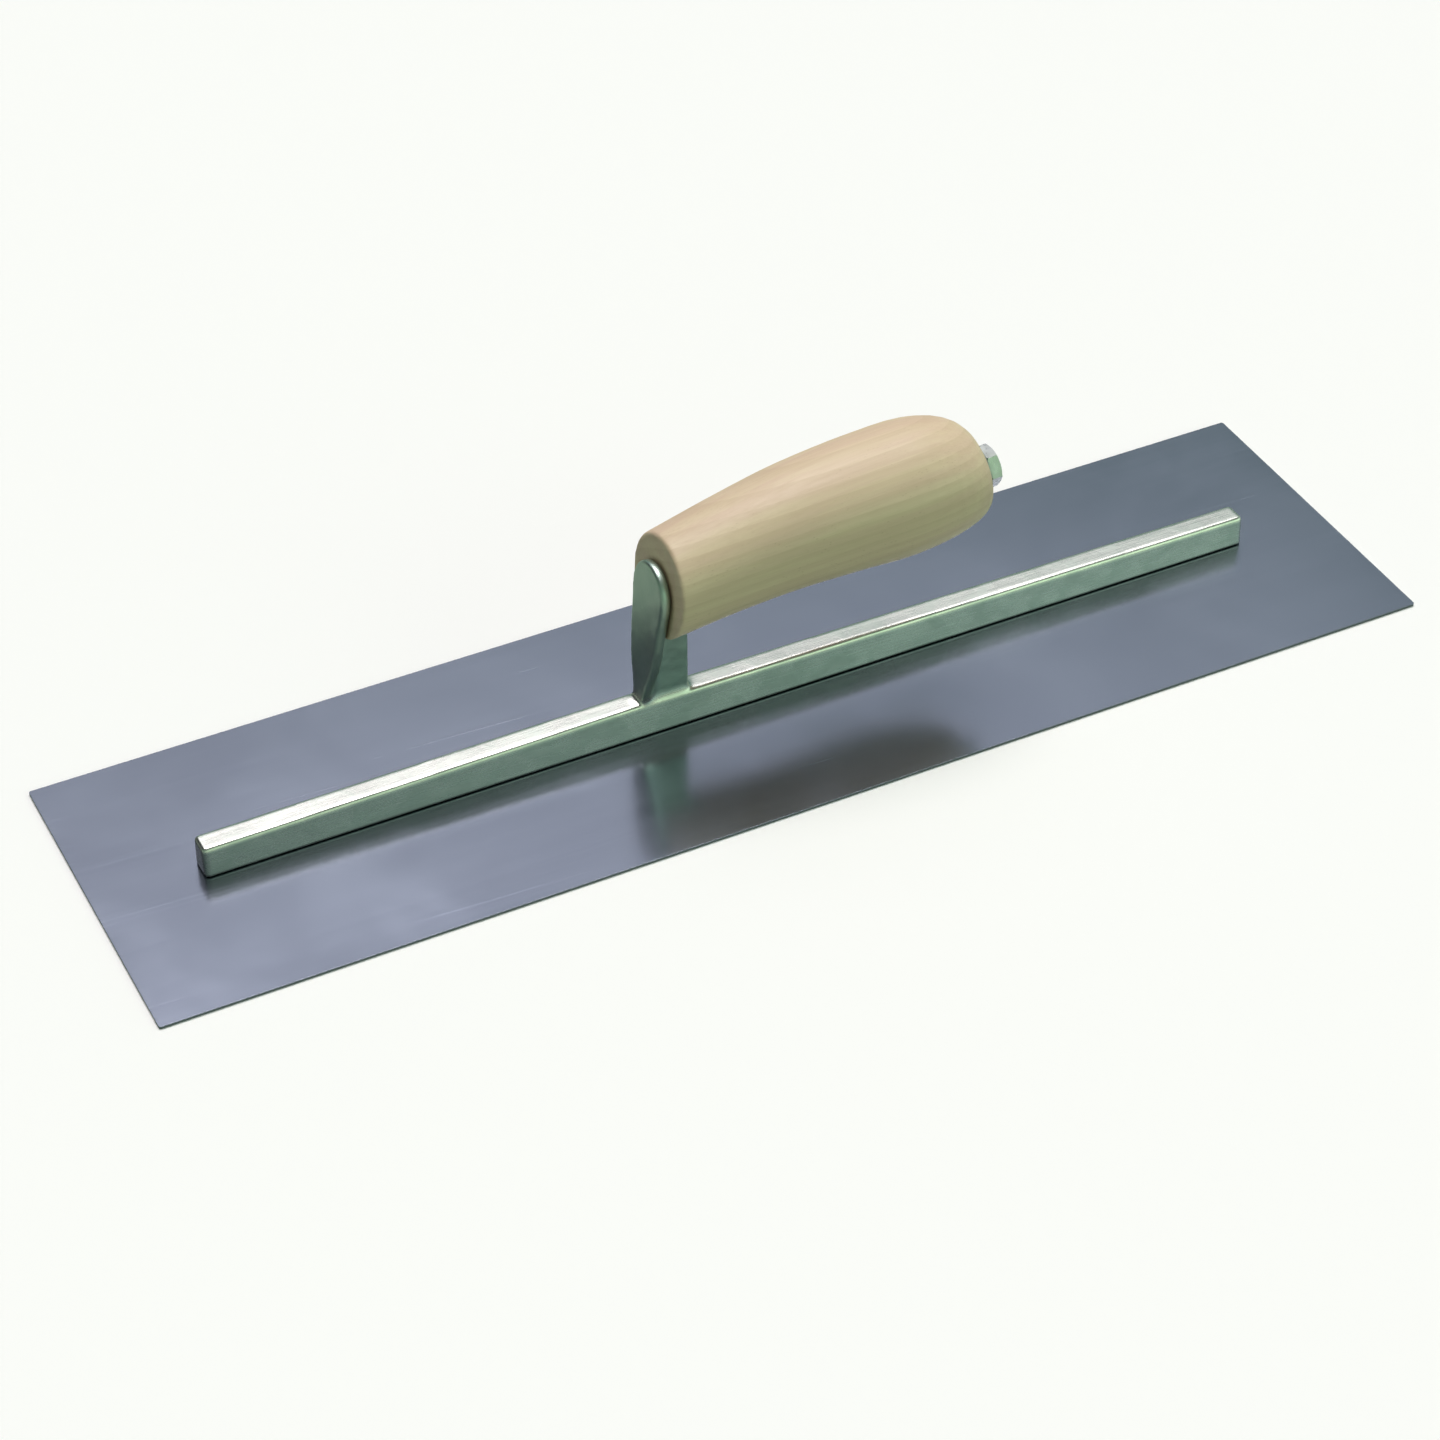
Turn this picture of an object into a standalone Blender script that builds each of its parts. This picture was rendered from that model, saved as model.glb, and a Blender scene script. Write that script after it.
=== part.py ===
"""Steel finishing trowel: a thin blade riveted to a cast mounting, with a camelback wood handle on a tang.

Frame: +X runs along the blade towards the handle's tail, +Y across it, +Z up.
The origin is on the blade's underside, at the middle of its length and width.
"""

import math

import bmesh
import bpy
from mathutils import Vector

MM = 0.001

# Fits
GAP = 0.3 * MM  # clearance between neighbouring pieces
CUT_OVERRUN = 2.0 * MM  # how far a cutter runs past the face that it opens

# Blade
BLADE_LENGTH = 457.2 * MM
BLADE_WIDTH = 120.65 * MM
BLADE_THICKNESS = 0.9 * MM
BLADE_CORNER_RADIUS = 0.8 * MM

# Mounting: the bar along the blade
BAR_FRONT_SETBACK = 36.2 * MM  # from the blade's front end
BAR_TAIL_SETBACK = 34.6 * MM  # from the blade's tail end
BAR_WIDTH = 9.9 * MM  # at its foot
BAR_DRAFT = math.radians(4.0)  # how far its sides lean in
BAR_HEIGHT_AT_ENDS = 10.9 * MM
BAR_HEIGHT_AT_SHANK = 12.7 * MM
BAR_END_RADIUS = 1.6 * MM
BAR_TOP_RADIUS = 1.3 * MM

# Mounting: the shank, whose front plate leans back
SHANK_X = -39.6 * MM  # the plate's front face where it leaves the bar
SHANK_LEAN = math.radians(5.7)
PLATE_THICKNESS = 3.6 * MM
PLATE_EDGE_RADIUS = 1.2 * MM
BOSS_RADIUS = 10.8 * MM
BOSS_RISE = 42.3 * MM  # from the bar's top to the boss's centre, along the plate
PLATE_WIDTHS = (  # (share of the boss's rise, width of the plate)
    (0.0, 7.4 * MM),
    (0.1, 8.8 * MM),
    (0.2, 11.5 * MM),
    (0.35, 15.4 * MM),
    (0.55, 18.2 * MM),
    (0.75, 19.4 * MM),
)
RIB_THICKNESS = 6.0 * MM
RIB_DEPTH = 17.5 * MM  # from the plate's front face to the rib's back
RIB_EDGE_RADIUS = 0.6 * MM
RIB_FOOT_FLARE = 1.6 * MM
LIP_LENGTH = 3.6 * MM  # how far the lip under the handle stands out behind the rib
LIP_THICKNESS = 2.6 * MM

# Tang, through the handle
TANG_DIAMETER = 7.9 * MM
TANG_SLOPE = math.radians(4.6)  # rise towards the tail
TANG_SEAT_FLOOR = 1.6 * MM  # the boss's metal in front of the tang's seat, at its middle
TANG_BORE_CLEARANCE = 0.4 * MM
TANG_CHAMFER = 0.6 * MM
TANG_PROUD = 0.5 * MM  # how far the tang shows past the nut

# Handle
HANDLE_LENGTH = 117.5 * MM
HANDLE_FACE_RADIUS = 17.8 * MM
HANDLE_FACE_ROUNDING = 0.8 * MM
HANDLE_FACE_RISE = 1.9 * MM  # the front face's centre above the tang's axis
TAIL_LENGTH = 31.0 * MM
TAIL_FLAT_RADIUS = 9.2 * MM
TAIL_FULLNESS = 0.8  # 1 rounds the tail as an ellipse, and less makes it blunter
HANDLE_SECTIONS = (  # (share of the length before the tail, centre above the tang's axis, radius)
    (0.0, HANDLE_FACE_RISE, HANDLE_FACE_RADIUS),
    (0.27, 4.7 * MM, 19.0 * MM),
    (0.53, 6.2 * MM, 20.4 * MM),
    (0.79, 5.8 * MM, 21.7 * MM),
    (1.0, 4.8 * MM, 22.4 * MM),
)

# Washer and nut
WASHER_RADIUS = 8.7 * MM
WASHER_THICKNESS = 1.5 * MM
WASHER_EDGE = 0.25 * MM
NUT_ACROSS_FLATS = 12.7 * MM
NUT_HEIGHT = 4.4 * MM
NUT_CHAMFER = 0.7 * MM

# Rivets
RIVET_COUNT = 10
RIVET_DIAMETER = 4.0 * MM
RIVET_HEAD_DIAMETER = 6.8 * MM
RIVET_HEAD_SHARE = 0.8  # of the blade's thickness, taken by the countersunk head
RIVET_GRIP = 7.0 * MM  # how far a rivet reaches into the bar
RIVET_END_MARGIN = 12.5 * MM  # from the bar's end to the last rivet
RIVET_CHAMFER = 0.3 * MM

# Fineness of round shapes
ROUND_SIDES = 32
SMALL_ROUND_SIDES = 20
HANDLE_SIDES = 48
EDGE_STEPS = 4
ROUNDING_STEPS = 5
TAIL_STEPS = 9
BODY_STEPS = 22
PLATE_STEPS = 14
FILLET_STEPS = 6
SHARP_EDGE = math.radians(35)  # faces that meet at more than this show an edge
MERGE_DISTANCE = 0.01 * MM

# Derived sizes and places
BAR_LENGTH = BLADE_LENGTH - BAR_FRONT_SETBACK - BAR_TAIL_SETBACK
BAR_MIDDLE_X = (BAR_FRONT_SETBACK - BAR_TAIL_SETBACK) / 2
BAR_BASE_Z = BLADE_THICKNESS + GAP
BAR_TOP_Z = BAR_BASE_Z + BAR_HEIGHT_AT_SHANK
UP_PLATE = Vector((math.sin(SHANK_LEAN), 0.0, math.cos(SHANK_LEAN)))
BEHIND_PLATE = Vector((math.cos(SHANK_LEAN), 0.0, -math.sin(SHANK_LEAN)))
PLATE_FOOT = Vector((SHANK_X, 0.0, BAR_TOP_Z))
BOSS_CENTRE = PLATE_FOOT + UP_PLATE * BOSS_RISE
ALONG_TANG = Vector((math.cos(TANG_SLOPE), 0.0, math.sin(TANG_SLOPE)))
ABOVE_TANG = Vector((-math.sin(TANG_SLOPE), 0.0, math.cos(TANG_SLOPE)))
FACE_CENTRE = BOSS_CENTRE + BEHIND_PLATE * (PLATE_THICKNESS + GAP)  # where the tang enters the handle
WASHER_START = HANDLE_LENGTH + GAP
NUT_START = WASHER_START + WASHER_THICKNESS + GAP
TANG_END = NUT_START + NUT_HEIGHT + TANG_PROUD
SEAT_BOTTOM = TANG_SEAT_FLOOR - PLATE_THICKNESS - GAP
TANG_START = SEAT_BOTTOM + GAP
RIVET_HEAD_DEPTH = BLADE_THICKNESS * RIVET_HEAD_SHARE
RIVET_TOP_Z = BAR_BASE_Z + RIVET_GRIP


def clear_scene():
    """Removes every object of the start-up scene."""
    for obj in list(bpy.data.objects):
        bpy.data.objects.remove(obj, do_unlink=True)


def make_collection(name):
    """A new collection in the scene."""
    collection = bpy.data.collections.new(name)
    bpy.context.scene.collection.children.link(collection)
    return collection


def make_material(name, color, roughness, metallic):
    """A Principled material with one colour."""
    material = bpy.data.materials.new(name)
    material.use_nodes = True
    shader = material.node_tree.nodes["Principled BSDF"]
    shader.inputs["Base Color"].default_value = (*color, 1.0)
    shader.inputs["Roughness"].default_value = roughness
    shader.inputs["Metallic"].default_value = metallic
    return material


def add_object(name, data, collection, material=None):
    """Links a mesh or curve as a new object."""
    obj = bpy.data.objects.new(name, data)
    collection.objects.link(obj)
    if material is not None:
        data.materials.append(material)
    return obj


def hide_helper(obj):
    """Marks an object as a cutter or a joining body, which isn't a piece by itself."""
    obj.hide_render = True
    obj.display_type = "WIRE"
    return obj


def combine(obj, other, operation):
    """Joins a body to obj, or cuts it out of obj, with a Boolean modifier."""
    boolean = obj.modifiers.new(operation.lower() + "_" + other.name, "BOOLEAN")
    boolean.operation = operation
    boolean.solver = "EXACT"
    if isinstance(other, bpy.types.Collection):
        boolean.operand_type = "COLLECTION"
        boolean.collection = other
    else:
        boolean.object = other
    return boolean


def mesh_from(bm, name):
    """Ends a bmesh and returns its mesh."""
    bmesh.ops.recalc_face_normals(bm, faces=bm.faces)
    mesh = bpy.data.meshes.new(name)
    bm.to_mesh(mesh)
    bm.free()
    mesh.shade_smooth()
    mesh.set_sharp_from_angle(angle=SHARP_EDGE)
    return mesh


def turned(name, profile, sides, collection, material=None):
    """A solid turned round local Z. The profile's (radius, z) points run down its outer side."""
    mesh = bpy.data.meshes.new(name)
    points = [(radius, 0.0, z) for radius, z in profile]
    edges = [(i, i + 1) for i in range(len(points) - 1)]
    if profile[0] == profile[-1]:
        points.pop()
        edges[-1] = (len(points) - 1, 0)
    mesh.from_pydata(points, edges, [])
    obj = add_object(name, mesh, collection, material)
    screw = obj.modifiers.new("turned", "SCREW")
    screw.steps = sides
    screw.render_steps = sides
    screw.use_merge_vertices = True
    screw.merge_threshold = MERGE_DISTANCE
    return obj


def flat_solid(name, outline, thickness, edge_radius, collection):
    """A flat outline, given by its (x, y) points, made into a plate with rounded edges, as a mesh."""
    curve = bpy.data.curves.new(name + "_outline", "CURVE")
    curve.dimensions = "2D"
    curve.fill_mode = "BOTH"
    curve.extrude = thickness / 2 - edge_radius
    curve.bevel_depth = edge_radius
    curve.bevel_resolution = 2
    curve.offset = -edge_radius
    spline = curve.splines.new("POLY")
    spline.points.add(len(outline) - 1)
    for point, (x, y) in zip(spline.points, outline):
        point.co = (x, y, 0.0, 1.0)
    spline.use_cyclic_u = True
    curve_object = add_object(name + "_curve", curve, collection)
    evaluated = curve_object.evaluated_get(bpy.context.evaluated_depsgraph_get())
    mesh = bpy.data.meshes.new_from_object(evaluated)
    bpy.data.objects.remove(curve_object)
    bm = bmesh.new()
    bm.from_mesh(mesh)
    bmesh.ops.remove_doubles(bm, verts=bm.verts, dist=MERGE_DISTANCE)
    bmesh.ops.recalc_face_normals(bm, faces=bm.faces)
    bm.to_mesh(mesh)
    bm.free()
    mesh.name = name
    return add_object(name, mesh, collection)


def smooth_value(stations, position):
    """The value at a position, on a smooth curve through (position, value) stations that ends level."""
    for i in range(len(stations) - 1):
        start, low = stations[i]
        end, high = stations[i + 1]
        if position <= end or i == len(stations) - 2:
            break

    def slope(k):
        if k == len(stations) - 1:
            return 0.0
        before = stations[max(k - 1, 0)]
        after = stations[k + 1]
        return (after[1] - before[1]) / (after[0] - before[0])

    span = end - start
    t = (position - start) / span
    return (
        (2 * t**3 - 3 * t**2 + 1) * low
        + (t**3 - 2 * t**2 + t) * span * slope(i)
        + (3 * t**2 - 2 * t**3) * high
        + (t**3 - t**2) * span * slope(i + 1)
    )


def rivet_positions():
    """Places along X, evenly spaced between the margins at the bar's ends."""
    run = BAR_LENGTH - 2 * RIVET_END_MARGIN
    first = BAR_MIDDLE_X - run / 2
    return [first + run * i / (RIVET_COUNT - 1) for i in range(RIVET_COUNT)]


def make_rivet_cutters():
    """One cutter at each rivet: a countersink in the blade and a blind hole in the bar."""
    cutters = make_collection("rivet_cutters")
    hole_radius = RIVET_DIAMETER / 2 + GAP
    sink_radius = RIVET_HEAD_DIAMETER / 2 + GAP
    profile = [
        (0.0, RIVET_TOP_Z + GAP),
        (hole_radius, RIVET_TOP_Z + GAP),
        (hole_radius, RIVET_HEAD_DEPTH),
        (sink_radius, 0.0),
        (sink_radius, -CUT_OVERRUN),
        (0.0, -CUT_OVERRUN),
    ]
    for number, x in enumerate(rivet_positions(), start=1):
        cutter = turned(f"rivet_cutter_{number:02d}", profile, SMALL_ROUND_SIDES, cutters)
        cutter.location.x = x
        hide_helper(cutter)
    return cutters


def make_rivets(collection, material):
    """Countersunk rivets, flush with the blade's underside."""
    radius = RIVET_DIAMETER / 2
    profile = [
        (0.0, RIVET_TOP_Z),
        (radius - RIVET_CHAMFER, RIVET_TOP_Z),
        (radius, RIVET_TOP_Z - RIVET_CHAMFER),
        (radius, RIVET_HEAD_DEPTH),
        (RIVET_HEAD_DIAMETER / 2, 0.0),
        (0.0, 0.0),
    ]
    for number, x in enumerate(rivet_positions(), start=1):
        rivet = turned(f"rivet_{number:02d}", profile, SMALL_ROUND_SIDES, collection, material)
        rivet.location.x = x


def make_blade(collection, material, rivet_cutters):
    """The flat steel blade, with its countersunk rivet holes."""
    bm = bmesh.new()
    bmesh.ops.create_cube(bm, size=1.0)
    bmesh.ops.scale(bm, vec=(BLADE_LENGTH, BLADE_WIDTH, BLADE_THICKNESS), verts=bm.verts)
    round_edges(bm, [e for e in bm.edges if rise(e) > BLADE_THICKNESS / 2], BLADE_CORNER_RADIUS)
    blade = add_object("blade", mesh_from(bm, "blade"), collection, material)
    blade.location.z = BLADE_THICKNESS / 2
    combine(blade, rivet_cutters, "DIFFERENCE")
    return blade


def make_bar(collection, material):
    """The mounting's bar: highest at the shank, with drafted sides, rounded ends and rounded top edges."""
    bm = bmesh.new()
    bmesh.ops.create_cube(bm, size=1.0)
    bmesh.ops.scale(bm, vec=(BAR_LENGTH, BAR_WIDTH, BAR_HEIGHT_AT_ENDS), verts=bm.verts)
    bmesh.ops.translate(bm, vec=(BAR_MIDDLE_X, 0.0, BAR_HEIGHT_AT_ENDS / 2), verts=bm.verts)
    peak_x = SHANK_X + RIB_DEPTH / 2
    bmesh.ops.bisect_plane(
        bm, geom=[*bm.verts, *bm.edges, *bm.faces], plane_co=(peak_x, 0, 0), plane_no=(1, 0, 0)
    )
    for vert in bm.verts:
        if abs(vert.co.x - peak_x) < GAP and vert.co.z > BAR_HEIGHT_AT_ENDS / 2:
            vert.co.z = BAR_HEIGHT_AT_SHANK
        half_width = BAR_WIDTH / 2 - vert.co.z * math.tan(BAR_DRAFT)
        vert.co.y = math.copysign(half_width, vert.co.y)
    upright = [e for e in bm.edges if rise(e) > BAR_HEIGHT_AT_ENDS / 2]
    round_edges(bm, [e for e in upright if abs(e.verts[0].co.x - peak_x) > BAR_WIDTH], BAR_END_RADIUS)
    bm.normal_update()
    round_edges(bm, [e for e in bm.edges if is_top_rim(e)], BAR_TOP_RADIUS)
    bar = add_object("mounting", mesh_from(bm, "mounting"), collection, material)
    bar.location.z = BAR_BASE_Z
    return bar


def rise(edge):
    """Height difference between an edge's ends."""
    return abs(edge.verts[0].co.z - edge.verts[1].co.z)


def is_top_rim(edge):
    """True for an edge between the bar's top and one of its walls."""
    slopes = sorted(abs(face.normal.z) for face in edge.link_faces)
    level = math.cos(SHARP_EDGE)
    return slopes[-1] > level > slopes[0] and max(v.co.z for v in edge.verts) > BAR_HEIGHT_AT_ENDS / 2


def round_edges(bm, edges, radius):
    """Rounds edges of a bmesh with arcs."""
    bmesh.ops.bevel(bm, geom=edges, offset=radius, segments=EDGE_STEPS, profile=0.5, affect="EDGES")


def plate_outline():
    """The front plate's outline in its own plane: x across, y up from the bar's top."""
    sides = [(share * BOSS_RISE, width / 2) for share, width in PLATE_WIDTHS]
    sides.append((BOSS_RISE, BOSS_RADIUS))
    root = -BAR_HEIGHT_AT_SHANK / 2
    right = [(PLATE_WIDTHS[0][1] / 2, root)]
    for i in range(PLATE_STEPS):
        y = BOSS_RISE * i / PLATE_STEPS
        right.append((smooth_value(sides, y), y))
    arc = []
    for i in range(2 * PLATE_STEPS + 1):
        angle = math.pi * i / (2 * PLATE_STEPS)
        arc.append((BOSS_RADIUS * math.cos(angle), BOSS_RISE + BOSS_RADIUS * math.sin(angle)))
    left = [(-x, y) for x, y in reversed(right)]
    return right + arc + left


def make_plate(helpers):
    """The shank's leaf-shaped front plate, with the round boss at its top."""
    plate = flat_solid("front_plate", plate_outline(), PLATE_THICKNESS, PLATE_EDGE_RADIUS, helpers)
    plate.rotation_euler = (math.pi / 2, 0.0, math.pi / 2)
    plate.location = PLATE_FOOT + BEHIND_PLATE * (PLATE_THICKNESS / 2)
    tilt_back(plate)
    return hide_helper(plate)


def tilt_back(obj):
    """Leans an upright piece back with the shank."""
    turn = obj.rotation_euler.to_matrix()
    lean = Vector((0, 0, 1)).rotation_difference(UP_PLATE).to_matrix()
    obj.rotation_euler = (lean @ turn).to_euler()


def handle_underside(x):
    """Height of the handle's underside above a place along X, near its front."""
    face_bottom = FACE_CENTRE + UP_PLATE * HANDLE_FACE_RISE - UP_PLATE * HANDLE_FACE_RADIUS
    second = handle_section(HANDLE_SECTIONS[1][0])
    second_bottom = second[0] - second[2] * second[1]
    share = (x - face_bottom.x) / (second_bottom.x - face_bottom.x)
    return face_bottom.z + share * (second_bottom.z - face_bottom.z)


def rib_outline():
    """The rib's outline from the side: x along the blade, y up."""
    front_x = SHANK_X + PLATE_THICKNESS / 2
    back_x = SHANK_X + RIB_DEPTH
    lip_x = back_x + LIP_LENGTH
    lip_top = handle_underside(lip_x) - GAP
    inside_plate_x = front_x + (BOSS_RISE - HANDLE_FACE_RADIUS) * math.sin(SHANK_LEAN)
    top_x = inside_plate_x + PLATE_THICKNESS
    root_z = BAR_TOP_Z - BAR_HEIGHT_AT_SHANK / 2
    points = [(front_x, root_z), (back_x + RIB_FOOT_FLARE, root_z)]
    for i in range(FILLET_STEPS + 1):
        angle = math.pi / 2 * i / FILLET_STEPS
        x = back_x + RIB_FOOT_FLARE * (1 - math.sin(angle))
        points.append((x, BAR_TOP_Z + RIB_FOOT_FLARE * (1 - math.cos(angle))))
    hollow = LIP_LENGTH - LIP_THICKNESS / 2
    for i in range(FILLET_STEPS + 1):
        angle = math.pi / 2 * i / FILLET_STEPS
        x = back_x + hollow * (1 - math.cos(angle))
        points.append((x, lip_top - LIP_THICKNESS - hollow * (1 - math.sin(angle))))
    points.append((lip_x, lip_top - LIP_THICKNESS / 2))
    points.append((lip_x, lip_top))
    points.append((top_x, handle_underside(top_x) - GAP))
    points.append((front_x, root_z + BAR_HEIGHT_AT_SHANK))
    return points


def make_rib(helpers):
    """The rib behind the front plate, with its flared foot and the lip under the handle."""
    rib = flat_solid("rib", rib_outline(), RIB_THICKNESS, RIB_EDGE_RADIUS, helpers)
    rib.rotation_euler = (math.pi / 2, 0.0, 0.0)
    return hide_helper(rib)


def make_mounting(collection, helpers, material, rivet_cutters, tang_axis):
    """The cast mounting: bar, front plate and rib in one, bored for the tang and the rivets."""
    mounting = make_bar(collection, material)
    combine(mounting, make_plate(helpers), "UNION")
    combine(mounting, make_rib(helpers), "UNION")
    seat_radius = TANG_DIAMETER / 2 + GAP
    seat_profile = [
        (0.0, PLATE_THICKNESS),
        (seat_radius, PLATE_THICKNESS),
        (seat_radius, SEAT_BOTTOM),
        (0.0, SEAT_BOTTOM),
    ]
    seat = turned("tang_seat_cutter", seat_profile, ROUND_SIDES, helpers)
    seat.parent = tang_axis
    combine(mounting, hide_helper(seat), "DIFFERENCE")
    combine(mounting, rivet_cutters, "DIFFERENCE")
    return mounting


def make_tang_axis(collection):
    """An empty where the tang enters the handle, with its local Z along the tang."""
    axis = bpy.data.objects.new("tang_axis", None)
    collection.objects.link(axis)
    axis.location = FACE_CENTRE
    axis.rotation_euler = (0.0, math.pi / 2 - TANG_SLOPE, 0.0)
    return axis


def make_tang(collection, material, tang_axis):
    """The steel rod through the handle."""
    radius = TANG_DIAMETER / 2
    profile = [
        (0.0, TANG_END),
        (radius - TANG_CHAMFER, TANG_END),
        (radius, TANG_END - TANG_CHAMFER),
        (radius, TANG_START + TANG_CHAMFER),
        (radius - TANG_CHAMFER, TANG_START),
        (0.0, TANG_START),
    ]
    tang = turned("tang", profile, ROUND_SIDES, collection, material)
    tang.parent = tang_axis
    return tang


def handle_section(share):
    """Centre, up direction and radius of the handle's section at a share of the length before its tail."""
    body_length = HANDLE_LENGTH - TAIL_LENGTH
    offset = smooth_value([(place, offset) for place, offset, _ in HANDLE_SECTIONS], share)
    radius = smooth_value([(place, radius) for place, _, radius in HANDLE_SECTIONS], share)
    lean = SHANK_LEAN * (1 - share) - TANG_SLOPE * share
    up = Vector((math.sin(lean), 0.0, math.cos(lean)))
    return FACE_CENTRE + ALONG_TANG * (body_length * share) + up * offset, up, radius


def handle_sections():
    """All sections of the handle, front to tail: the rounded front edge, the body and the rounded tail."""
    sections = []
    body_length = HANDLE_LENGTH - TAIL_LENGTH
    round_share = HANDLE_FACE_ROUNDING / body_length
    for i in range(ROUNDING_STEPS):
        angle = math.pi / 2 * i / ROUNDING_STEPS
        share = round_share * (1 - math.cos(angle))
        centre, up, radius = handle_section(share)
        sections.append((centre, up, radius - HANDLE_FACE_ROUNDING * (1 - math.sin(angle))))
    for i in range(BODY_STEPS + 1):
        share = round_share + (1 - round_share) * i / BODY_STEPS
        sections.append(handle_section(share))
    start, _, body_radius = handle_section(1.0)
    height = (start - FACE_CENTRE).dot(ABOVE_TANG)
    for i in range(1, TAIL_STEPS + 1):
        angle = math.pi / 2 * i / TAIL_STEPS
        along = body_length + TAIL_LENGTH * math.sin(angle)
        narrowing = abs(math.cos(angle)) ** TAIL_FULLNESS
        radius = TAIL_FLAT_RADIUS + (body_radius - TAIL_FLAT_RADIUS) * narrowing
        centre = FACE_CENTRE + ALONG_TANG * along + ABOVE_TANG * (height * math.cos(angle))
        sections.append((centre, ABOVE_TANG, radius))
    return sections


def make_handle(collection, helpers, material, tang_axis):
    """The camelback wood handle, lofted through its sections and bored for the tang."""
    bm = bmesh.new()
    loops = []
    for centre, up, radius in handle_sections():
        ring = []
        for i in range(HANDLE_SIDES):
            angle = math.tau * i / HANDLE_SIDES
            point = centre + up * (radius * math.cos(angle))
            point.y += radius * math.sin(angle)
            ring.append(bm.verts.new(point))
        loops.append(ring)
    for near, far in zip(loops, loops[1:]):
        for i in range(HANDLE_SIDES):
            j = (i + 1) % HANDLE_SIDES
            bm.faces.new((near[i], near[j], far[j], far[i]))
    bm.faces.new(reversed(loops[0]))
    bm.faces.new(loops[-1])
    handle = add_object("handle", mesh_from(bm, "handle"), collection, material)
    bore_radius = TANG_DIAMETER / 2 + TANG_BORE_CLEARANCE
    profile = [
        (0.0, HANDLE_LENGTH + CUT_OVERRUN),
        (bore_radius, HANDLE_LENGTH + CUT_OVERRUN),
        (bore_radius, -CUT_OVERRUN),
        (0.0, -CUT_OVERRUN),
    ]
    bore = turned("handle_bore_cutter", profile, ROUND_SIDES, helpers)
    bore.parent = tang_axis
    combine(handle, hide_helper(bore), "DIFFERENCE")
    return handle


def make_washer(collection, material, tang_axis):
    """The plain washer on the handle's tail."""
    hole_radius = TANG_DIAMETER / 2 + GAP
    profile = [
        (hole_radius, WASHER_THICKNESS),
        (WASHER_RADIUS - WASHER_EDGE, WASHER_THICKNESS),
        (WASHER_RADIUS, WASHER_THICKNESS - WASHER_EDGE),
        (WASHER_RADIUS, 0.0),
        (hole_radius, 0.0),
        (hole_radius, WASHER_THICKNESS),
    ]
    washer = turned("washer", profile, ROUND_SIDES, collection, material)
    washer.parent = tang_axis
    washer.location.z = WASHER_START
    return washer


def make_nut(collection, helpers, material, tang_axis):
    """The hexagon nut, with its corners turned down at both faces."""
    corner_radius = NUT_ACROSS_FLATS / 2 / math.cos(math.pi / 6)
    bm = bmesh.new()
    bmesh.ops.create_cone(
        bm, cap_ends=True, segments=6, radius1=corner_radius, radius2=corner_radius, depth=NUT_HEIGHT
    )
    bmesh.ops.translate(bm, vec=(0.0, 0.0, NUT_HEIGHT / 2), verts=bm.verts)
    nut = add_object("nut", mesh_from(bm, "nut"), collection, material)
    nut.parent = tang_axis
    nut.location.z = NUT_START
    face_radius = NUT_ACROSS_FLATS / 2
    full_radius = face_radius + 2 * NUT_CHAMFER
    barrel_profile = [
        (0.0, NUT_HEIGHT),
        (face_radius, NUT_HEIGHT),
        (full_radius, NUT_HEIGHT - NUT_CHAMFER),
        (full_radius, NUT_CHAMFER),
        (face_radius, 0.0),
        (0.0, 0.0),
    ]
    barrel = turned("nut_barrel", barrel_profile, ROUND_SIDES, helpers)
    bore_radius = TANG_DIAMETER / 2 + GAP
    bore_profile = [
        (0.0, NUT_HEIGHT + CUT_OVERRUN),
        (bore_radius, NUT_HEIGHT + CUT_OVERRUN),
        (bore_radius, -CUT_OVERRUN),
        (0.0, -CUT_OVERRUN),
    ]
    bore = turned("nut_bore_cutter", bore_profile, ROUND_SIDES, helpers)
    for helper, operation in ((barrel, "INTERSECT"), (bore, "DIFFERENCE")):
        helper.parent = tang_axis
        helper.location.z = NUT_START
        combine(nut, hide_helper(helper), operation)
    return nut


def main():
    clear_scene()
    pieces = make_collection("finishing_trowel")
    helpers = make_collection("cutters")
    blade_steel = make_material("blade_steel", (0.27, 0.30, 0.36), 0.28, 1.0)
    cast_alloy = make_material("cast_alloy", (0.62, 0.66, 0.63), 0.35, 1.0)
    rivet_steel = make_material("rivet_steel", (0.42, 0.43, 0.45), 0.35, 1.0)
    tang_steel = make_material("tang_steel", (0.50, 0.51, 0.52), 0.40, 1.0)
    zinc_plate = make_material("zinc_plate", (0.66, 0.68, 0.68), 0.32, 1.0)
    wood = make_material("wood", (0.66, 0.52, 0.35), 0.55, 0.0)

    rivet_cutters = make_rivet_cutters()
    tang_axis = make_tang_axis(pieces)
    make_blade(pieces, blade_steel, rivet_cutters)
    make_mounting(pieces, helpers, cast_alloy, rivet_cutters, tang_axis)
    make_rivets(pieces, rivet_steel)
    make_tang(pieces, tang_steel, tang_axis)
    make_handle(pieces, helpers, wood, tang_axis)
    make_washer(pieces, zinc_plate, tang_axis)
    make_nut(pieces, helpers, zinc_plate, tang_axis)


main()
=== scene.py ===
"""The finishing trowel's looks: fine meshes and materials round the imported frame, on a pale studio floor.

Metres, in the frame's own axes: +X along the blade to the handle's tail, +Y across it, +Z up.
"""

import math

import bmesh
import bpy
import numpy as np
from mathutils import Matrix, Vector, noise


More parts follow.
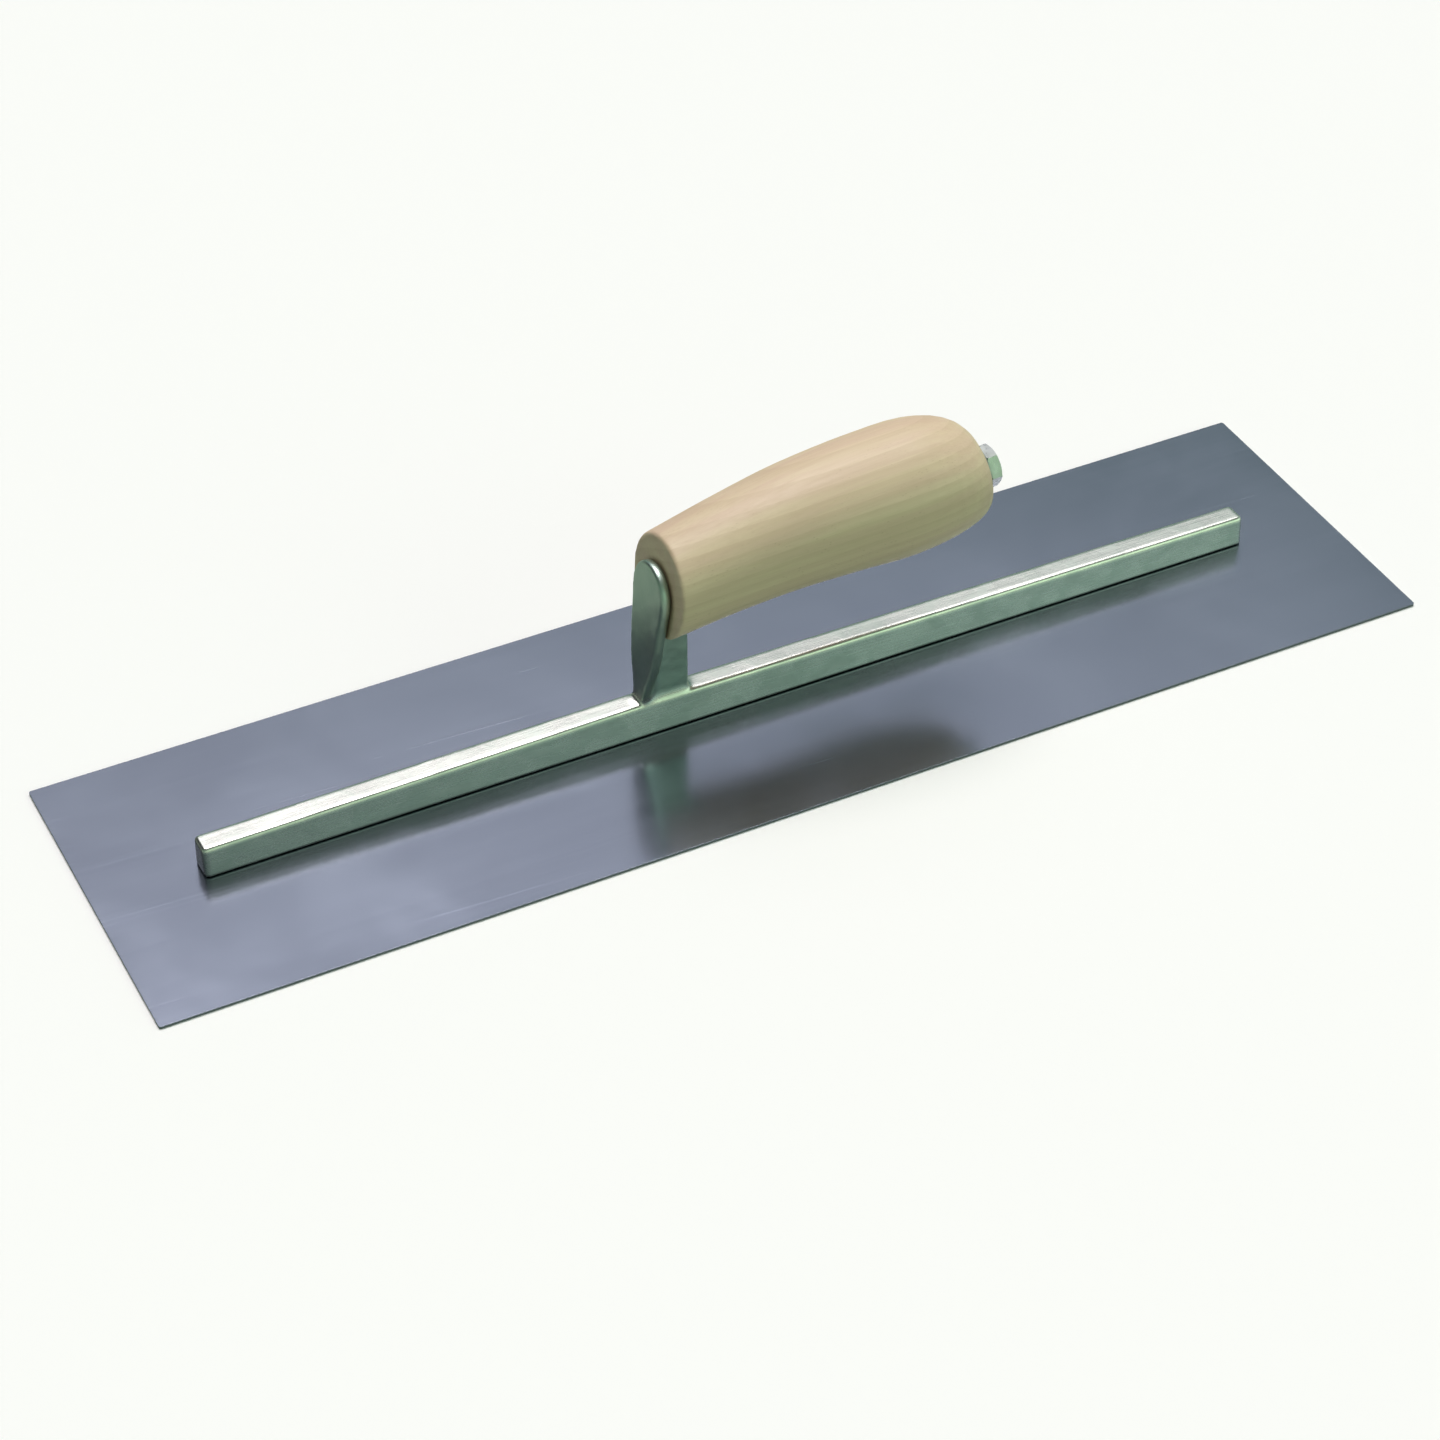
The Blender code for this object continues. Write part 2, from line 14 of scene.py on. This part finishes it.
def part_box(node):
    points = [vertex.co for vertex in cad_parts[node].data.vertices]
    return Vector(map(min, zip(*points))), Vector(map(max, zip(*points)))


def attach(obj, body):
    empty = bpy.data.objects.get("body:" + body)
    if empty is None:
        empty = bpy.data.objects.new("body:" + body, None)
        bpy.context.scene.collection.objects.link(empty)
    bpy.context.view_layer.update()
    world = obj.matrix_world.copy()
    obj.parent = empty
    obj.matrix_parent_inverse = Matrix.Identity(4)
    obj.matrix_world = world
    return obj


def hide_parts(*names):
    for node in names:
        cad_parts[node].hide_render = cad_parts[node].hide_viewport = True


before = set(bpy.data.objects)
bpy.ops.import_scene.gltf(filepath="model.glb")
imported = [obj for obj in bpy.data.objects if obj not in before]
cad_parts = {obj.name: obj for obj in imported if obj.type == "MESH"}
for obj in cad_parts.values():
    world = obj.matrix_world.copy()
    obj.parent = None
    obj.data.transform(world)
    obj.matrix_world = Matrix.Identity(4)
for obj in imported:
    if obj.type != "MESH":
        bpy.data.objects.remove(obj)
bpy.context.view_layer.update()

MM = 0.001

# Camera
CAMERA_AZIMUTH = math.radians(-27.20)  # 0 looks along +Y, and +X is then to the right
CAMERA_ELEVATION = math.radians(39.91)
CAMERA_ROLL = math.radians(0.25)
CAMERA_DISTANCE = 1.205
CAMERA_AIM = Vector((-13.1 * MM, -8.2 * MM, 0.9 * MM))
CAMERA_LENS = 91.16  # mm on the sensor below
CAMERA_SENSOR = 36.0

# Studio light: the colour of the surroundings at each bearing in degrees, clockwise from +Y
MIDDLE_BAND = (
    (-180, (0.10, 0.13, 0.10)),
    (-110, (0.09, 0.13, 0.10)),
    (-60, (0.06, 0.08, 0.07)),
    (-42, (0.03, 0.03, 0.03)),
    (-17, (0.04, 0.05, 0.05)),
    (-3, (0.80, 0.80, 0.82)),
    (14, (0.74, 0.74, 0.76)),
    (38, (0.72, 0.74, 0.76)),
    (52, (0.40, 0.50, 0.46)),
    (70, (0.24, 0.32, 0.28)),
    (110, (0.16, 0.20, 0.16)),
    (180, (0.12, 0.15, 0.12)),
)
LOW_BAND = (
    (-180, (0.42, 0.56, 0.42)),
    (-110, (0.15, 0.24, 0.17)),
    (-70, (0.08, 0.12, 0.10)),
    (-45, (0.03, 0.03, 0.03)),
    (-17, (0.04, 0.05, 0.05)),
    (0, (0.14, 0.24, 0.20)),
    (50, (0.10, 0.20, 0.16)),
    (90, (0.36, 0.48, 0.40)),
    (125, (0.78, 1.04, 0.80)),
    (152, (1.00, 1.42, 0.94)),
    (166, (0.46, 0.66, 0.46)),
    (180, (0.42, 0.56, 0.42)),
)
LOW_BAND_ENDS = (33.0, 40.0)  # degrees above the floor, where it gives way to the middle band
KEY_COLOR = (7.60, 7.25, 7.15)
KEY_BEARING = 20.0
KEY_HEIGHT = 71.0  # degrees above the floor
KEY_EDGE = (16.0, 22.0)  # degrees from its middle, where it fades out
BACKDROP_COLOR = (0.97, 0.97, 0.97)
FLOOR_COLOR = (0.99, 0.98, 1.0)
FLOOR_BOUNCE_COLOR = (0.33, 0.39, 0.32)  # what the floor sends back to the trowel
FLOOR_SIZE = 12.0
FLOOR_DROP = 0.15 * MM  # how far the floor lies under the blade

# Fine meshes
HANDLE_VOXEL = 0.62 * MM
CASTING_VOXEL = 0.48 * MM
WELD = 0.005 * MM
HANDLE_SLOPE = math.radians(4.6)  # rise of the wood's grain towards the tail
SHANK_BASE = 14.5 * MM  # height above which the casting's skin is the shank's

# Wood: where the middle of the trunk would be, and its rings
TRUNK_OFF_SIDE = 60 * MM
TRUNK_OFF_UP = 45 * MM
RING_WIDTH = 3.6 * MM
RING_WOBBLE = 7 * MM


def add_node(tree, kind, inputs=(), **settings):
    """A new node in a tree. An input, given by its name or number, is a value or another node's output."""
    node = tree.nodes.new(kind)
    for name, value in settings.items():
        setattr(node, name, value)
    for name, value in dict(inputs).items():
        if isinstance(value, bpy.types.NodeSocket):
            tree.links.new(value, node.inputs[name])
        else:
            node.inputs[name].default_value = value
    return node


# Node materials ---------------------------------------------------------------------------


class Surface:
    """A Principled material with short calls for the nodes that the surfaces here use."""

    def __init__(self, name, metallic=0.0):
        self.material = bpy.data.materials.new(name)
        self.material.use_nodes = True
        self.tree = self.material.node_tree
        self.shader = self.tree.nodes["Principled BSDF"]
        self.shader.inputs["Metallic"].default_value = metallic
        self.place = self.node("ShaderNodeTexCoord").outputs["Object"]
        self.normal = None

    def node(self, kind, inputs=(), **settings):
        """A new node in this material."""
        return add_node(self.tree, kind, inputs, **settings)

    def stretched(self, scale, turn=(0.0, 0.0, 0.0)):
        """The object's coordinates, turned and then scaled along each axis, in cycles a metre."""
        turned = self.node("ShaderNodeMapping", {"Vector": self.place, "Rotation": turn})
        scaled = self.node("ShaderNodeMapping", {"Vector": turned.outputs["Vector"], "Scale": scale})
        return scaled.outputs["Vector"]

    def noise(self, vector, scale=1.0, detail=2.0, roughness=0.5, distortion=0.0):
        """Soft noise, from 0 to 1."""
        inputs = {
            "Vector": vector,
            "Scale": scale,
            "Detail": detail,
            "Roughness": roughness,
            "Distortion": distortion,
        }
        return self.node("ShaderNodeTexNoise", inputs).outputs["Fac"]

    def cells(self, vector, scale=1.0):
        """The distance to the nearest of many scattered points."""
        return self.node("ShaderNodeTexVoronoi", {"Vector": vector, "Scale": scale}).outputs["Distance"]

    def span(self, value, low, high, to_low=0.0, to_high=1.0):
        """Maps a value's range smoothly to another."""
        inputs = {"Value": value, 1: low, 2: high, 3: to_low, 4: to_high}
        return self.node("ShaderNodeMapRange", inputs, interpolation_type="SMOOTHSTEP").outputs["Result"]

    def math(self, operation, first, second=0.0):
        """A sum, product or other operation on two values."""
        return self.node("ShaderNodeMath", {0: first, 1: second}, operation=operation).outputs[0]

    def blend(self, amount, first, second):
        """Mixes two colours, each three numbers or an output."""
        inputs = {0: amount}
        for socket, color in ((6, first), (7, second)):
            inputs[socket] = color if isinstance(color, bpy.types.NodeSocket) else (*color, 1.0)
        return self.node("ShaderNodeMix", inputs, data_type="RGBA").outputs[2]

    def bump(self, height, distance, strength=1.0):
        """Adds relief on top of what the surface has already. Distance is in metres."""
        inputs = {"Height": height, "Distance": distance, "Strength": strength}
        if self.normal is not None:
            inputs["Normal"] = self.normal
        self.normal = self.node("ShaderNodeBump", inputs).outputs["Normal"]

    def crevices(self, distance):
        """1 in the open, falling to 0 in corners narrower than the distance."""
        node = self.node("ShaderNodeAmbientOcclusion", {"Distance": distance}, samples=8)
        return node.outputs["AO"]

    def finish(self, color, roughness, **constants):
        """Joins the colour, roughness and relief to the shader, and sets its constant inputs."""
        self.tree.links.new(color, self.shader.inputs["Base Color"])
        self.tree.links.new(roughness, self.shader.inputs["Roughness"])
        if self.normal is not None:
            self.tree.links.new(self.normal, self.shader.inputs["Normal"])
        for name, value in constants.items():
            self.shader.inputs[name.replace("_", " ")].default_value = value
        return self.material


def ground_steel(name, color, streak_length, roughness, scratch_relief):
    """Steel ground and polished along X: long fine streaks, a few scratches, and smudges of oil."""
    s = Surface(name, metallic=1.0)
    across = 1 / (0.35 * MM)
    along = 1 / streak_length
    streaks = s.noise(s.stretched((along, across, across)), detail=4.0, roughness=0.6)
    fine = s.noise(s.stretched((along * 2.3, across * 4, across * 4)), detail=2.0)
    smudges = s.noise(s.place, scale=16.0, detail=3.0, roughness=0.55, distortion=0.6)
    clouds = s.noise(s.place, scale=5.0, detail=2.0)
    scratch = s.noise(s.stretched((along * 0.5, 1900.0, 1900.0), (0, 0, math.radians(3))), detail=1.0)
    scratches = s.span(scratch, 0.72, 0.78)
    tone = s.blend(s.span(clouds, 0.35, 0.65), color, [0.94 * c for c in color])
    tone = s.blend(s.span(streaks, 0.3, 0.7, 0.0, 0.22), tone, [1.12 * c for c in color])
    tone = s.blend(s.math("MULTIPLY", scratches, 0.10), tone, [1.5 * c for c in color])
    rough = s.span(smudges, 0.3, 0.72, roughness - 0.025, roughness + 0.035)
    rough = s.math("ADD", rough, s.span(streaks, 0.3, 0.7, -0.012, 0.012))
    rough = s.math("ADD", rough, s.math("MULTIPLY", scratches, 0.06))
    s.bump(streaks, 0.004 * MM, 0.35)
    s.bump(fine, 0.002 * MM, 0.3)
    s.bump(scratches, -scratch_relief, 0.5)
    return s.finish(tone, rough)


def cast_metal(name):
    """A polished alloy casting: grinding lines along the bar, uneven skin on the shank, painted shade in
    corners.
    """
    s = Surface(name, metallic=1.0)
    height = s.node("ShaderNodeSeparateXYZ", {"Vector": s.place}).outputs["Z"]
    on_shank = s.span(height, SHANK_BASE, SHANK_BASE + 3 * MM)
    lines = s.noise(s.stretched((60.0, 2600.0, 2600.0)), detail=4.0, roughness=0.62)
    brushed = s.noise(s.stretched((420.0, 2200.0, 700.0), (0.0, math.radians(62), 0.0)), detail=4.0)
    skin = s.noise(s.place, scale=520.0, detail=4.0, roughness=0.6)
    lumps = s.noise(s.place, scale=95.0, detail=3.0, roughness=0.5, distortion=0.8)
    pits = s.span(s.cells(s.place, scale=900.0), 0.02, 0.16)
    open_air = s.crevices(5 * MM)
    light, dull = (0.83, 0.82, 0.79), (0.70, 0.73, 0.69)
    shank_tint, painted_shade = (0.34, 0.50, 0.44), (0.12, 0.14, 0.11)
    tone = s.blend(s.span(lumps, 0.35, 0.7), light, dull)
    tone = s.blend(s.math("MULTIPLY", on_shank, 0.65), tone, shank_tint)
    # Painted shade: the tone darkens towards a dark grey-green in corners and recesses, by ambient
    # occlusion.
    tone = s.blend(s.span(open_air, 0.30, 0.80, 0.60, 0.0), tone, painted_shade)
    rough = s.span(s.math("ADD", lines, s.math("MULTIPLY", lumps, 0.6)), 0.5, 1.1, 0.23, 0.34)
    rough = s.math("ADD", rough, s.math("MULTIPLY", on_shank, 0.08))
    s.bump(s.math("MULTIPLY", lines, s.math("SUBTRACT", 1.0, on_shank)), 0.010 * MM, 0.5)
    s.bump(s.math("MULTIPLY", brushed, on_shank), 0.05 * MM, 0.7)
    s.bump(lumps, 0.12 * MM, 0.6)
    s.bump(skin, 0.02 * MM, 0.6)
    s.bump(pits, 0.02 * MM, 0.4)
    return s.finish(tone, rough)


def rod_steel(name, color, roughness):
    """Plain or plated steel with a fine uneven skin, faint tarnish and painted shade in its corners."""
    s = Surface(name, metallic=1.0)
    skin = s.noise(s.place, scale=900.0, detail=4.0, roughness=0.6)
    patches = s.noise(s.place, scale=160.0, detail=3.0, distortion=0.5)
    worn = s.noise(s.place, scale=420.0, detail=2.0)
    tarnished = [part * share for part, share in zip(color, (0.86, 0.88, 0.84))]
    painted_shade = (0.09, 0.09, 0.08)
    tone = s.blend(s.span(patches, 0.35, 0.68), color, tarnished)
    # Painted shade: near-black in corners narrower than 1.2 mm, by ambient occlusion.
    tone = s.blend(s.span(s.crevices(1.2 * MM), 0.3, 0.9, 0.7, 0.0), tone, painted_shade)
    rough = s.span(worn, 0.3, 0.7, roughness - 0.05, roughness + 0.07)
    s.bump(skin, 0.006 * MM, 0.5)
    s.bump(patches, 0.02 * MM, 0.4)
    return s.finish(tone, rough)


def sanded_wood(name, slope):
    """Pale close-grained hardwood along the handle: faint rings, fibres, ray flecks, end grain and painted
    shade in corners.
    """
    s = Surface(name)
    turn = (0.0, slope, 0.0)
    wobble = s.noise(s.stretched((7.0, 16.0, 16.0), turn), detail=2.0)
    axes = s.node("ShaderNodeSeparateXYZ", {"Vector": s.stretched((1.0, 1.0, 1.0), turn)})
    off_side = s.math("ADD", axes.outputs["Y"], TRUNK_OFF_SIDE)
    off_up = s.math("ADD", axes.outputs["Z"], TRUNK_OFF_UP)
    reach = s.math("ADD", s.math("POWER", off_side, 2.0), s.math("POWER", off_up, 2.0))
    reach = s.math("SQRT", reach)
    reach = s.math("ADD", reach, s.math("MULTIPLY", wobble, RING_WOBBLE))
    ring = s.math("FRACT", s.math("MULTIPLY", reach, 1 / RING_WIDTH))
    late = s.math("MULTIPLY", s.span(ring, 0.25, 0.92), s.span(ring, 1.0, 0.93))
    fibre = s.noise(s.stretched((38.0, 1500.0, 1500.0), turn), detail=5.0, roughness=0.65)
    streak = s.noise(s.stretched((9.0, 150.0, 150.0), turn), detail=3.0, roughness=0.55)
    fleck_cells = s.cells(s.stretched((340.0, 2300.0, 900.0), turn))
    fleck_mask = s.noise(s.stretched((60.0, 160.0, 160.0), turn), detail=1.0)
    flecks = s.math("MULTIPLY", s.span(fleck_cells, 0.20, 0.06), s.span(fleck_mask, 0.45, 0.6))
    pores = s.span(s.cells(s.stretched((180.0, 3800.0, 3800.0), turn)), 0.16, 0.05)
    pale, warm, deep = (0.79, 0.63, 0.45), (0.75, 0.56, 0.42), (0.57, 0.41, 0.26)
    fleck_brown, pore_brown, painted_shade_brown = (0.44, 0.28, 0.15), (0.40, 0.26, 0.14), (0.20, 0.13, 0.07)
    tone = s.blend(s.span(streak, 0.34, 0.66), pale, warm)
    tone = s.blend(s.math("MULTIPLY", late, 0.22), tone, deep)
    tone = s.blend(s.span(fibre, 0.35, 0.75, 0.0, 0.20), tone, deep)
    tone = s.blend(s.math("MULTIPLY", flecks, 0.42), tone, fleck_brown)
    tone = s.blend(s.math("MULTIPLY", pores, 0.16), tone, pore_brown)
    # Painted shade: dark brown in corners and recesses, by ambient occlusion.
    tone = s.blend(s.span(s.crevices(3 * MM), 0.3, 0.85, 0.6, 0.0), tone, painted_shade_brown)
    rough = s.span(fibre, 0.3, 0.7, 0.46, 0.60)
    s.bump(fibre, 0.03 * MM, 0.5)
    s.bump(s.math("MULTIPLY", pores, -1.0), 0.02 * MM, 0.5)
    s.bump(late, 0.015 * MM, 0.4)
    s.bump(streak, 0.04 * MM, 0.3)
    return s.finish(tone, rough, Coat_Weight=0.12, Coat_Roughness=0.34)


# Meshes -----------------------------------------------------------------------------------


def add_piece(name, mesh, material):
    """A new piece with the given mesh and material, linked to the scene."""
    mesh.materials.clear()
    mesh.materials.append(material)
    piece = bpy.data.objects.new(name, mesh)
    bpy.context.scene.collection.objects.link(piece)
    return piece


def welded_copy(node):
    """A CAD node's mesh with its split corners joined."""
    bm = bmesh.new()
    bm.from_mesh(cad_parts[node].data)
    bmesh.ops.remove_doubles(bm, verts=bm.verts, dist=WELD)
    mesh = bpy.data.meshes.new(node + "_fine")
    bm.to_mesh(mesh)
    bm.free()
    return mesh


def remeshed(mesh, voxel):
    """The mesh rebuilt from even small quads."""
    helper = bpy.data.objects.new("remesh_helper", mesh)
    bpy.context.scene.collection.objects.link(helper)
    remesh = helper.modifiers.new("remesh", "REMESH")
    remesh.mode = "VOXEL"
    remesh.voxel_size = voxel * 1.0
    result = bpy.data.meshes.new_from_object(
        helper.evaluated_get(bpy.context.evaluated_depsgraph_get())
    )
    bpy.data.objects.remove(helper)
    bpy.data.meshes.remove(mesh)
    return result


class Points:
    """A mesh's points as an array, with what smoothing needs."""

    def __init__(self, mesh):
        self.mesh = mesh
        count = len(mesh.vertices)
        self.place = np.empty(count * 3, np.float32)
        mesh.vertices.foreach_get("co", self.place)
        self.place = self.place.reshape(-1, 3).astype(np.float64)
        self.edges = np.empty(len(mesh.edges) * 2, np.int32)
        mesh.edges.foreach_get("vertices", self.edges)
        self.edges = self.edges.reshape(-1, 2)
        ends = np.concatenate([self.edges[:, 0], self.edges[:, 1]])
        self.degree = np.maximum(np.bincount(ends, minlength=count), 1)

    def normals(self):
        """The points' normals for the places they have now."""
        self.store()
        found = np.empty(len(self.place) * 3, np.float32)
        self.mesh.vertices.foreach_get("normal", found)
        return found.reshape(-1, 3).astype(np.float64)

    def pull(self):
        """From each point to the middle of its neighbours."""
        first, second = self.edges[:, 0], self.edges[:, 1]
        total = np.zeros_like(self.place)
        for axis in range(3):
            values = self.place[:, axis]
            total[:, axis] = np.bincount(first, values[second], len(values))
            total[:, axis] += np.bincount(second, values[first], len(values))
        return total / self.degree[:, None] - self.place

    def relax(self, rounds, amount=0.5):
        """Evens the surface out without shrinking it, by steps in and out."""
        for _ in range(rounds):
            self.place += self.pull() * amount
            self.place -= self.pull() * (amount * 1.04)

    def fill_corners(self, rounds, where):
        """Grows a fillet in inside corners, where the mask allows it, and leaves the rest as it is."""
        for _ in range(rounds):
            normals = self.normals()
            pull = self.pull()
            outward = np.einsum("ij,ij->i", pull, normals)
            step = np.clip(outward, 0.0, None) * where
            self.place += normals * (step * 0.9)[:, None]

    def displace(self, heights):
        """Moves each point along its normal."""
        self.place += self.normals() * heights[:, None]

    def store(self):
        """Writes the places back to the mesh."""
        self.mesh.vertices.foreach_set("co", self.place.astype(np.float32).ravel())
        self.mesh.update()


def lumps(places, size, seed):
    """Smooth noise from -1 to 1 at each place, with lumps of a given size."""
    shift = Vector((seed, 2.7 * seed, -1.3 * seed))
    return np.array([noise.noise(Vector(p) / size + shift) for p in places])


def between(values, low, high):
    """0 below low, 1 above high, smooth between."""
    t = np.clip((values - low) / (high - low), 0.0, 1.0)
    return t * t * (3 - 2 * t)


def make_casting(material):
    """The cast mounting with its fillets and its hand-dressed shank."""
    mesh = remeshed(welded_copy("mounting"), CASTING_VOXEL)
    points = Points(mesh)
    points.relax(3)
    low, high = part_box("mounting")
    under_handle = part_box("handle")[0].z + 3 * MM
    height = points.place[:, 2]
    bar_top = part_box("rivet_01")[1].z + 4 * MM
    foot = between(height, bar_top, bar_top + MM)
    points.fill_corners(30, foot * between(height, under_handle + 3 * MM, under_handle))
    points.relax(2)
    shank = between(height, bar_top + 3 * MM, bar_top + 6 * MM)
    uneven = lumps(points.place, 6 * MM, 3.0) * 0.10 * MM
    uneven += lumps(points.place, 2.5 * MM, 8.0) * 0.035 * MM
    wavy = lumps(points.place * np.array([0.35, 1.0, 1.0]), 7 * MM, 5.0) * 0.03 * MM
    points.displace(uneven * shank + wavy * (1 - shank))
    points.place = np.clip(points.place, np.array(low), np.array(high))
    points.store()
    mesh.shade_smooth()
    piece = add_piece("casting", mesh, material)
    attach(piece, "root")
    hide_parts("mounting")


def make_handle(material):
    """The turned and sanded wood handle."""
    mesh = remeshed(welded_copy("handle"), HANDLE_VOXEL)
    points = Points(mesh)
    points.relax(3)
    low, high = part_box("handle")
    sanding = lumps(points.place, 14 * MM, 11.0) * 0.06 * MM
    points.displace(sanding)
    points.place = np.clip(points.place, np.array(low), np.array(high))
    points.store()
    mesh.shade_smooth()
    piece = add_piece("wood_handle", mesh, material)
    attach(piece, "root")
    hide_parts("handle")


def soften_edges(node, width, angle):
    """Gives a CAD node small rounded edges, by modifiers only."""
    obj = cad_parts[node]
    weld = obj.modifiers.new("joined_corners", "WELD")
    weld.merge_threshold = WELD
    bevel = obj.modifiers.new("soft_edges", "BEVEL")
    bevel.limit_method = "ANGLE"
    bevel.angle_limit = math.radians(angle)
    bevel.width = width
    bevel.segments = 2
    bevel.harden_normals = True


def dress(node, material):
    """A CAD node keeps its shape and takes a new material."""
    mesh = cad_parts[node].data
    mesh.materials.clear()
    mesh.materials.append(material)


# Studio -----------------------------------------------------------------------------------


def make_camera():
    """The camera, on its bearing round the trowel."""
    level = math.cos(CAMERA_ELEVATION)
    back = Vector((
        math.sin(CAMERA_AZIMUTH) * level,
        -math.cos(CAMERA_AZIMUTH) * level,
        math.sin(CAMERA_ELEVATION),
    ))
    data = bpy.data.cameras.new("camera")
    data.lens = CAMERA_LENS
    data.sensor_width = CAMERA_SENSOR
    camera = bpy.data.objects.new("camera", data)
    bpy.context.scene.collection.objects.link(camera)
    upright = back.to_track_quat("Z", "Y").to_matrix().to_4x4()
    place = Matrix.Translation(CAMERA_AIM + back * CAMERA_DISTANCE)
    camera.matrix_world = place @ upright @ Matrix.Rotation(CAMERA_ROLL, 4, "Z")
    bpy.context.scene.camera = camera


def make_floor():
    """The plain pale floor. It is paler to the camera than to the trowel that stands on it."""
    bm = bmesh.new()
    bmesh.ops.create_grid(bm, x_segments=1, y_segments=1, size=FLOOR_SIZE / 2)
    bmesh.ops.translate(bm, vec=(0.0, 0.0, -FLOOR_DROP), verts=bm.verts)
    mesh = bpy.data.meshes.new("floor")
    bm.to_mesh(mesh)
    bm.free()
    s = Surface("floor_paint")
    seen = s.node("ShaderNodeLightPath").outputs["Is Camera Ray"]
    tone = s.blend(seen, FLOOR_BOUNCE_COLOR, FLOOR_COLOR)
    grain = s.noise(s.place, scale=300.0, detail=2.0)
    material = s.finish(tone, s.span(grain, 0.3, 0.7, 0.85, 0.95), Specular_IOR_Level=0.2)
    floor = add_piece("floor", mesh, material)


def make_light():
    """Soft studio surroundings: walls that change with bearing and height, and a key light overhead."""
    world = bpy.data.worlds.new("studio")
    world.use_nodes = True
    bpy.context.scene.world = world
    tree = world.node_tree
    tree.nodes.clear()

    def node(kind, inputs=(), **settings):
        return add_node(tree, kind, inputs, **settings)

    def ring(share, band):
        """A colour for each bearing."""
        made = node("ShaderNodeValToRGB", {0: share})
        stops = made.color_ramp.elements
        for _ in band[2:]:
            stops.new(0.5)
        for stop, (bearing, color) in zip(stops, band):
            stop.position = (bearing + 180) / 360
            stop.color = (*color, 1.0)
        return made.outputs["Color"]

    def faded(value, start, end):
        """0 before the start, 1 past the end, smooth between."""
        inputs = {0: value, 1: start, 2: end}
        return node("ShaderNodeMapRange", inputs, interpolation_type="SMOOTHSTEP").outputs[0]

    def blend(amount, first, second):
        return node("ShaderNodeMix", {0: amount, 6: first, 7: second}, data_type="RGBA").outputs[2]

    direction = node("ShaderNodeTexCoord").outputs["Generated"]
    axes = node("ShaderNodeSeparateXYZ", {0: direction}).outputs
    bearing = node("ShaderNodeMath", {0: axes["X"], 1: axes["Y"]}, operation="ARCTAN2").outputs[0]
    share = node("ShaderNodeMapRange", {0: bearing, 1: -math.pi, 2: math.pi}).outputs[0]
    low_end, middle_start = (math.sin(math.radians(degrees)) for degrees in LOW_BAND_ENDS)
    upper = faded(axes["Z"], low_end, middle_start)
    walls = blend(upper, ring(share, LOW_BAND), ring(share, MIDDLE_BAND))
    turn, rise = math.radians(KEY_BEARING), math.radians(KEY_HEIGHT)
    key = (math.sin(turn) * math.cos(rise), math.cos(turn) * math.cos(rise), math.sin(rise))
    product = node("ShaderNodeVectorMath", {0: direction, 1: key}, operation="DOT_PRODUCT")
    near_key = product.outputs["Value"]
    inner, outer = (math.cos(math.radians(degrees)) for degrees in KEY_EDGE)
    light = blend(faded(near_key, outer, inner), walls, (*KEY_COLOR, 1.0))
    to_camera = node("ShaderNodeLightPath").outputs["Is Camera Ray"]
    shown = blend(to_camera, light, (*BACKDROP_COLOR, 1.0))
    background = node("ShaderNodeBackground", {"Color": shown})
    node("ShaderNodeOutputWorld", {0: background.outputs[0]})
    bpy.context.scene.view_settings.view_transform = "Standard"


def main():
    make_camera()
    make_light()
    make_floor()

    blade_steel = ground_steel("polished_blade_steel", (0.30, 0.33, 0.42), 90 * MM, 0.19, 0.0015 * MM)
    rivet_steel = ground_steel("ground_rivet_steel", (0.46, 0.47, 0.50), 20 * MM, 0.30, 0.006 * MM)
    casting = cast_metal("polished_casting")
    wood = sanded_wood("sanded_wood", HANDLE_SLOPE)
    zinc = rod_steel("zinc_plate", (0.46, 0.48, 0.48), 0.30)
    rod = rod_steel("tang_steel", (0.55, 0.56, 0.57), 0.36)

    dress("blade", blade_steel)
    soften_edges("blade", 0.12 * MM, 50)
    for node in sorted(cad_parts):
        if node.startswith("rivet"):
            dress(node, rivet_steel)
    dress("tang", rod)
    dress("washer", zinc)
    soften_edges("washer", 0.12 * MM, 40)
    dress("nut", zinc)
    soften_edges("nut", 0.15 * MM, 25)
    make_casting(casting)
    make_handle(wood)


main()
